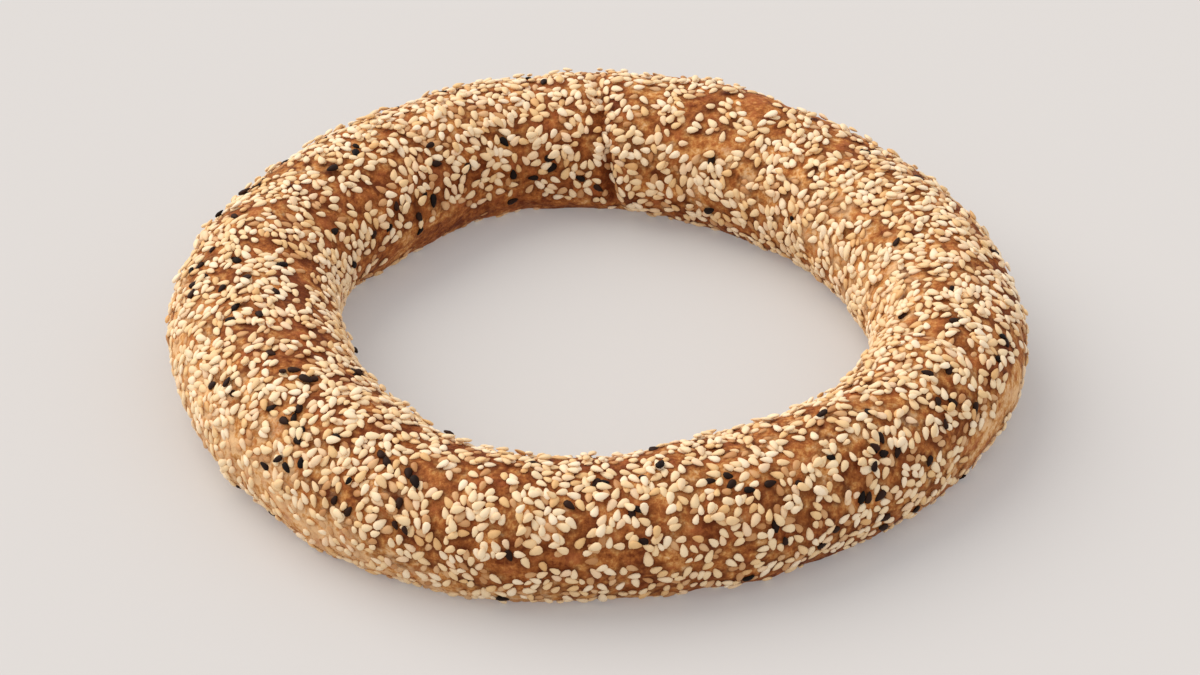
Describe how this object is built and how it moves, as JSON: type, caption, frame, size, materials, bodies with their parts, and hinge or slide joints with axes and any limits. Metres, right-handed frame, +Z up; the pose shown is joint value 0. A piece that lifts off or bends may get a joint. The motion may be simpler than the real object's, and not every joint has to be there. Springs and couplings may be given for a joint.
{
  "type": "sesame bread ring bagel",
  "caption": "Large thin bagel ring for eating: a hand-rolled rope of dough joined end to end and baked with a coat of pale and black sesame.",
  "frame": {"origin": "middle of the ring's outline on the surface that it lies on", "axes": "+Z up out of the surface, +X along the ring's widest side, +Y across it"},
  "size_m": [0.1776, 0.1734, 0.0285],
  "materials": {
    "crust": "satin",
    "sesame": "satin",
    "black_sesame": "satin"
  },
  "bodies": {
    "root": {"bread_ring": "crust"}
  },
  "joints": []
}
